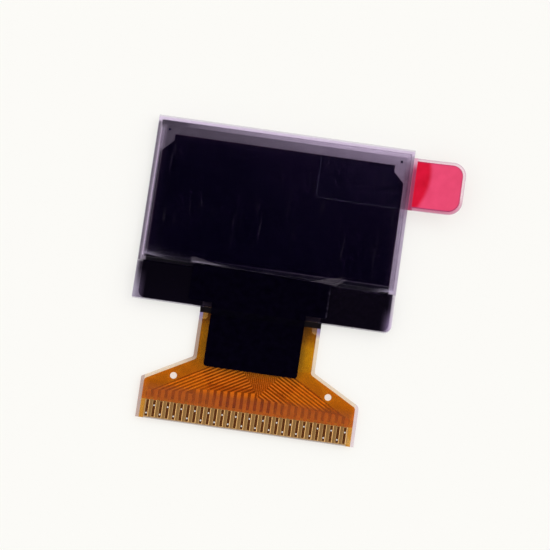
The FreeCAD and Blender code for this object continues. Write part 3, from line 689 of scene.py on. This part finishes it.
def base_film_material():
    """Base film: pale along its bare rims and tan between the pads, where its back is bare too, with
    painted shade on its left rim, beside the neck's left side, under the ledge and in part between the
    pads.
    """
    left_outer_rim = (0.80, 0.71, 0.69)
    right_outer_rim = (0.935, 0.875, 0.910)
    covered = (0.962, 0.895, 0.810)
    neck_left_shade = (0.735, 0.635, 0.585)
    under_ledge = (0.620, 0.560, 0.760)
    low_ends = (0.955, 0.870, 0.800)
    between_pads = (0.635, 0.465, 0.265)
    bare_end = (0.80, 0.76, 0.76)
    neck_edge = (-5.85, -5.95)
    neck_foot = (-15.6, -14.6)
    ledge_shadow = (-11.2, -10.4)
    look = new_look("base_film")
    across = look.axis("X")
    along = look.axis("Y")
    from_middle = look.calculate("ABSOLUTE", across)

    below_coverlay = look.stretch(along, (COVERLAY.low + 0.04, COVERLAY.low - 0.04))
    below_pads = look.stretch(along, (PADS.low + 0.02, PADS.low - 0.08))
    within_pads = look.stretch(from_middle, (PADS.right + 0.08, PADS.right - 0.02))
    within_coverlay = look.stretch(from_middle, (COVERLAY.right + 0.02, COVERLAY.right - 0.03))
    beside_neck = look.multiply(look.stretch(across, neck_edge), look.stretch(along, neck_foot))

    # Painted shade: the left rim is darker than the right one.
    tint = look.blend(right_half(look), left_outer_rim, right_outer_rim)
    tint = look.blend(within_coverlay, tint, covered)
    # Painted shade beside the neck's left side and under the ledge.
    tint = look.blend(beside_neck, tint, neck_left_shade)
    tint = look.blend(look.stretch(along, ledge_shadow), tint, under_ledge)
    tint = look.blend(look.multiply(below_coverlay, within_coverlay), tint, low_ends)
    # Tan between the pads, darker in part as painted shade from the pads.
    tint = look.blend(look.multiply(below_coverlay, within_pads), tint, between_pads)
    tint = look.blend(look.multiply(below_pads, within_pads), tint, bare_end)
    return amber_film(look, tint, haze=0.02, milk=(0.75, 0.60, 0.45))


def front_coverlay_material():
    """Front film: yellower up the neck, with painted shade on the neck's left side, beside the tape's leg
    and just below the ledge.
    """
    foot = (0.985, 0.680, 0.20)
    right_neck = (0.99, 0.845, 0.20)
    left_neck = (0.78, 0.650, 0.22)
    beside_leg = (0.70, 0.60, 0.26)
    below_ledge = (0.72, 0.64, 0.85)
    foot_milk = (0.75, 0.38, 0.05)
    stubs_milk = (0.75, 0.42, 0.36)
    neck_rise = (-16.8, -13.6)
    leg_shadow = (-0.75, -0.05)
    ledge_shadow = (-12.3, -11.3)
    left_drop = 0.6
    look = new_look("front_coverlay")
    across = look.axis("X")
    along = look.axis("Y")
    # Painted shade: the neck's left side is darker than its right.
    left = look.stretch(across, (0.0, -1.0))
    high = look.stretch(along, neck_rise, smooth=True)
    tint = look.blend(high, foot, look.blend(left, right_neck, left_neck))

    shade = look.stretch(look.gap_within(across, LEG_LEFT, LEG_RIGHT), leg_shadow, smooth=True)
    tint = look.blend(look.multiply(shade, high), tint, beside_leg)

    slanting = look.subtract(along, look.multiply(left, left_drop))
    tint = look.blend(look.stretch(slanting, ledge_shadow), tint, look.times(tint, below_ledge))
    milk = look.blend(look.stretch(along, (STUBS_START, STUBS_START - 0.7)), foot_milk, stubs_milk)
    return amber_film(look, tint, haze=0.03, milk=milk)


def rear_coverlay_material():
    """Rear film, with painted shade between the stubs."""
    look = new_look("rear_coverlay")
    from_middle = look.calculate("ABSOLUTE", look.axis("X"))
    down = look.stretch(look.axis("Y"), (STUBS_START + 0.3, STUBS_START - 0.3))
    stubs = look.multiply(down, look.stretch(from_middle, (PADS.right + 0.2, PADS.right)))
    tint = look.blend(stubs, (0.915, 0.675, 0.24), (0.850, 0.610, 0.22))
    return amber_film(look, tint, haze=0.02, milk=(0.75, 0.45, 0.05))


def copper_material(name, dark, bright, stub_shade):
    """Copper under the films. The broad stubs above the pads are darker and pinker than the fine traces.
    """
    look = new_look(name)
    colour = look.blend(look.cloud(2.0), dark, bright)
    stubs = look.stretch(look.axis("Y"), (STUBS_START, STUBS_START - 0.6))
    colour = look.blend(stubs, colour, look.times(colour, stub_shade))
    inputs = {"Base Color": colour, "Roughness": 0.45, "Metallic": 0.3}
    return look.finish(look.shader("BsdfPrincipled", inputs))


def pad_material():
    """Gold plating, painted darker on the pads' flat tops as shade and brighter on their bevelled edges
    as sheen.
    """
    bevel_sheen_colours = ((0.46, 0.26, 0.085), (0.56, 0.33, 0.125))
    top_shade_colours = ((0.46, 0.135, 0.032), (0.56, 0.175, 0.045))
    look = new_look("gold_pads")
    cloud = look.cloud(2.5)
    # Painted sheen on the bevels and painted shade on the flat tops, chosen by which way a face points
    flat = look.stretch(look.normal_axis("Z"), (0.978, 0.992))
    colour = look.blend(flat, look.blend(cloud, *bevel_sheen_colours), look.blend(cloud, *top_shade_colours))
    inputs = {"Base Color": colour, "Roughness": 0.2, "Metallic": 0.89}
    return look.finish(look.shader("BsdfPrincipled", inputs))


def tape_material():
    """Black tape, with a painted highlight along the right end of the T's bar."""
    painted_highlight_colour = (0.022, 0.018, 0.030)
    look = new_look("shield_tape")
    colour = look.blend(look.cloud(1.5, detail=5.0), (0.0004, 0.0001, 0.0020), (0.0014, 0.0007, 0.0044))
    # Painted highlight along the right end of the T's bar
    edge = look.stretch(look.axis("X"), (T_TAPE.right - 0.22, T_TAPE.right - 0.10))
    painted_highlight_share = look.stretch(look.noise(2.2, 3.0), (0.40, 0.60), start=0.1, end=1.0)
    inputs = {
        "Base Color": look.blend(look.multiply(edge, painted_highlight_share), colour, painted_highlight_colour),
        "Roughness": 0.3,
        "Specular IOR Level": 0.012,
        "Normal": look.grain(5.0, height=0.006),
    }
    return look.finish(look.shader("BsdfPrincipled", inputs))


# Pieces of the scene's own

FILM_THICKNESS = 0.05
CREASE_ANGLE = 40.0


def make_piece(name, vertices, faces, material, stands_for, crease=CREASE_ANGLE):
    """A piece in place of one of the part's, smooth except at edges sharper than the crease angle."""
    mesh = bpy.data.meshes.new(name)
    mesh.from_pydata([tuple(c * MM for c in vertex) for vertex in vertices], [], faces)
    mesh.materials.append(material)
    mesh.shade_smooth()
    mesh.set_sharp_from_angle(angle=math.radians(crease))
    piece = bpy.data.objects.new(name, mesh)
    bpy.context.scene.collection.objects.link(piece)
    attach(piece, "root")
    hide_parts(stands_for)


def closed_film(lower_rows, thickness):
    """Vertices and faces of a thin closed film from its lower face's rows of points."""
    rows = len(lower_rows)
    columns = len(lower_rows[0])
    vertices = [point for row in lower_rows for point in row]
    vertices += [(x, y, z + thickness) for x, y, z in vertices]
    above = rows * columns
    faces = []
    for row in range(rows - 1):
        for column in range(columns - 1):
            corner = row * columns + column
            quad = (corner, corner + 1, corner + columns + 1, corner + columns)
            faces.append(quad[::-1])
            faces.append(tuple(index + above for index in quad))
    rim = list(range(columns))
    rim += [row * columns + columns - 1 for row in range(1, rows)]
    rim += [(rows - 1) * columns + column for column in range(columns - 2, -1, -1)]
    rim += [row * columns for row in range(rows - 2, 0, -1)]
    for index, start in enumerate(rim):
        end = rim[(index + 1) % len(rim)]
        faces.append((start, end, end + above, start + above))
    return vertices, faces


def even_places(start, end, steps):
    """Places at even steps from start to end, both included."""
    return [start + (end - start) * step / steps for step in range(steps + 1)]


# The protective film's loose edge is folded into flat facets. Each rises below a slanting crease
# through a point.
Facet = namedtuple("Facet", "x y slant steepness")
LEFT_CORNER = Facet(x=-12.8, y=-4.86, slant=-0.17, steepness=0.22)
WEDGE = Facet(x=-9.38, y=-4.27, slant=-0.206, steepness=0.22)
RIGHT_LIP = Facet(x=4.65, y=-5.47, slant=0.27, steepness=0.24)
RIGHT_CORNER = Facet(x=10.2, y=-5.72, slant=0.30, steepness=0.11)
RIGHT_LIP_START = 3.2
CREASE_SOFTNESS = 0.05


def facet_height(facet, x, y):
    """Height of a facet, with a soft bend at its crease."""
    depth = facet.y + (x - facet.x) * facet.slant - y
    return facet.steepness * (depth + math.sqrt(depth ** 2 + CREASE_SOFTNESS ** 2)) / 2


def film_lift(x, y):
    """Height of the protective film's loose edge over its level."""
    lift = facet_height(LEFT_CORNER, x, y) * share_of(x, -10.2, -11.0)
    lift += facet_height(WEDGE, x, y) * share_of(x, -7.85, -7.75)
    if x > RIGHT_LIP_START:
        slanting_end = 8.9 + (y + 4.3) * 1.3
        lift += facet_height(RIGHT_LIP, x, y) * share_of(x, slanting_end, slanting_end - 0.5)
    lift += facet_height(RIGHT_CORNER, x, y) * share_of(x, 9.6, 10.4)
    return lift


def make_protective_film(material):
    """Film with fine rows over its loose lower lip and coarser ones above."""
    inset = 0.004
    bend = FILM.low + 2.4
    lowest = FILM.low - 0.49
    columns = 300
    lip_rows = 56
    upper_rows = 20
    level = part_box("protective_film")[0].z / MM + inset
    places = even_places(FILM.left, FILM.right, columns)
    foots = [max(lowest, film_foot(x)) for x in places]
    rows = []
    for share in even_places(0.0, 1.0, lip_rows):
        rows.append([(x, foot + (bend - foot) * share) for x, foot in zip(places, foots)])
    for y in even_places(bend, FILM.high, upper_rows)[1:]:
        rows.append([(x, y) for x in places])
    lower_rows = [[(x, y, level + film_lift(x, y)) for x, y in row] for row in rows]
    vertices, faces = closed_film(lower_rows, FILM_THICKNESS - 2 * inset)
    make_piece("clear_film", vertices, faces, material, "protective_film")


# The strip's and the tab's free end curls up from the protective film's side, on this radius.
CURL_RADIUS = 26.0
CORNER_ROWS = 10
MIDDLE_ROWS = 40


def curl(x):
    """Height of the free end over the level of the glass."""
    reach = max(0.0, x - FILM.right)
    return CURL_RADIUS - math.sqrt(CURL_RADIUS ** 2 - reach ** 2)


def round_end(distance, radius):
    """How far a rounded corner draws a row's end in, at a distance from the film's side."""
    reach = max(0.0, radius - distance)
    return radius - math.sqrt(max(0.0, radius ** 2 - reach ** 2))


def row_places(low, high, radius):
    """Places of the rows between two sides, close together over the rounded corners."""
    turns = [math.pi / 2 * step / CORNER_ROWS for step in range(CORNER_ROWS + 1)]
    ends = [radius * (1 - math.cos(turn)) for turn in turns]
    inner = even_places(low + radius, high - radius, MIDDLE_ROWS)[1:-1]
    return [low + end for end in ends] + inner + [high - end for end in reversed(ends)]


def make_curled_film(name, node, material, corners, columns):
    """Film with rounded corners of one radius at its free end and of another at its left end."""
    corner, left_corner = corners
    inset = 0.003
    box = outline(node)
    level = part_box(node)[0].z / MM + inset
    rows = []
    for y in row_places(box.low, box.high, corner):
        side = min(y - box.low, box.high - y)
        first = box.left + round_end(side, left_corner)
        last = box.right - round_end(side, corner)
        rows.append([(x, y, level + curl(x)) for x in even_places(first, last, columns)])
    vertices, faces = closed_film(rows, FILM_THICKNESS - 2 * inset)
    make_piece(name, vertices, faces, material, node)


PAD_COUNT = 30
PAD_PITCH = 0.7
PAD_HALF_WIDTH = 0.2
PAD_BEVEL = 0.06
PAD_SIDE_WALL = 0.006
PAD_CREASE_ANGLE = 5.0
PAD_HOLE_RADIUS = 0.085
PAD_HOLE_PLACES = (0.37, 1.23)
RING_POINTS = 16

# A pad's border starts with its two lower corners. Then come its right side's points, its two upper
# corners and its left side's points.
RIGHT_SIDE = slice(2, 7)
UPPER_CORNERS = slice(7, 9)
LEFT_SIDE = slice(9, 14)


def pad_layer(centre, hole, inset, level):
    """Points of a pad at one level: its border drawn in by an inset, the hole's rim, and the inner
    points of the lower and upper sides of the square round the hole."""
    half_width = PAD_HALF_WIDTH - inset
    low = PADS.low + inset
    high = PADS.high - inset
    side = [half_width * (step / 2 - 1) for step in range(5)]
    border = [(centre - half_width, low), (centre + half_width, low)]
    border += [(centre + half_width, hole + step) for step in side]
    border += [(centre + half_width, high), (centre - half_width, high)]
    border += [(centre - half_width, hole + step) for step in reversed(side)]
    angles = [2 * math.pi * step / RING_POINTS for step in range(RING_POINTS)]
    radius = PAD_HOLE_RADIUS
    ring = [(centre + radius * math.cos(angle), hole + radius * math.sin(angle)) for angle in angles]
    lower = [(centre + step, hole - half_width) for step in side[1:-1]]
    upper = [(centre + step, hole + half_width) for step in reversed(side[1:-1])]
    return [[(x, y, level) for x, y in points] for points in (border, ring, lower, upper)]


def plate_faces(border, ring, lower, upper):
    """Faces of a plate between its border and its hole."""
    right = border[RIGHT_SIDE]
    left = border[LEFT_SIDE]
    square = right[2:] + upper + left + lower + right[:2]
    faces = []
    for index in range(RING_POINTS):
        following = (index + 1) % RING_POINTS
        faces.append((square[index], square[following], ring[following], ring[index]))
    faces.append((*border[:2], right[0], *lower[::-1], left[-1]))
    faces.append((*border[UPPER_CORNERS], left[0], *upper[::-1], right[-1]))
    return faces


def wall_faces(below, above):
    """Faces between two loops of points."""
    faces = []
    for index in range(len(below)):
        following = (index + 1) % len(below)
        faces.append((below[index], below[following], above[following], above[index]))
    return faces


def make_pads(material):
    """Solder pads whose bevelled edges catch the light round a darker middle."""
    low_level, high_level = (corner.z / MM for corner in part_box("contact_pads"))
    middle = (PADS.left + PADS.right) / 2
    vertices = []
    faces = []

    def add(points):
        first = len(vertices)
        vertices.extend(points)
        return list(range(first, first + len(points)))

    for number in range(PAD_COUNT):
        centre = middle + (number - (PAD_COUNT - 1) / 2) * PAD_PITCH
        hole = PADS.low + PAD_HOLE_PLACES[number % 2]
        bottom = [add(points) for points in pad_layer(centre, hole, 0.0, low_level)]
        wall_top = add(pad_layer(centre, hole, 0.0, low_level + PAD_SIDE_WALL)[0])
        top = [add(points) for points in pad_layer(centre, hole, PAD_BEVEL, high_level)]
        faces += plate_faces(*top)
        faces += [face[::-1] for face in plate_faces(*bottom)]
        faces += wall_faces(bottom[0], wall_top)
        faces += wall_faces(wall_top, top[0])
        faces += wall_faces(top[1], bottom[1])
    make_piece("bright_pads", vertices, faces, material, "contact_pads", PAD_CREASE_ANGLE)


make_camera()
make_world()
make_floor()

tape = tape_material()
bond = plain_material("bond_film", (0.42, 0.38, 0.32), 0.6)
materials = {
    "substrate_glass": glass_material(),
    "cap_glass": cap_material(),
    "perimeter_seal": seal_material(),
    "desiccant_sheet": plain_material("desiccant", (0.75, 0.75, 0.72), 0.8),
    "display_layers": display_material(),
    "alignment_marks": plain_material("marks", (0.008, 0.008, 0.035), 0.5, specular=0.1),
    "polarizer": polarizer_material(),
    "ledge_leads": plain_material("leads", (0.004, 0.003, 0.008), 0.4, specular=0.05),
    "driver_die": plain_material("silicon", (0.16, 0.16, 0.18), 0.25),
    "die_bond_film": bond,
    "tail_bond_film": bond,
    "tail_base_film": base_film_material(),
    "front_coverlay": front_coverlay_material(),
    "rear_coverlay": rear_coverlay_material(),
    "tail_traces": copper_material(
        "copper_traces", dark=(0.78, 0.50, 0.42), bright=(0.88, 0.60, 0.52), stub_shade=(0.60, 0.58, 0.76)
    ),
    # The copper behind is kept dark partly as painted shade in the gaps between the traces.
    "rear_ground_copper": copper_material(
        "copper_behind", dark=(0.31, 0.20, 0.16), bright=(0.40, 0.27, 0.22), stub_shade=WHITE
    ),
    "glue_bead": plain_material("glue", (0.004, 0.002, 0.003), 0.3, specular=0.05),
    "front_shield_tape": tape,
    "rear_shield_tape": tape,
}
for node, material in materials.items():
    for slot in nodes[node].material_slots:
        slot.material = material

make_protective_film(film_material())
make_curled_film(
    "clear_pull_strip", "pull_strip", strip_material(),
    corners=(STRIP_CORNER, STRIP_LEFT_CORNER), columns=160,
)
make_curled_film(
    "red_pull_tab", "pull_tab", tab_material(),
    corners=(TAB_CORNER, 0.0), columns=90,
)
make_pads(pad_material())

bpy.context.scene.view_settings.view_transform = "Standard"
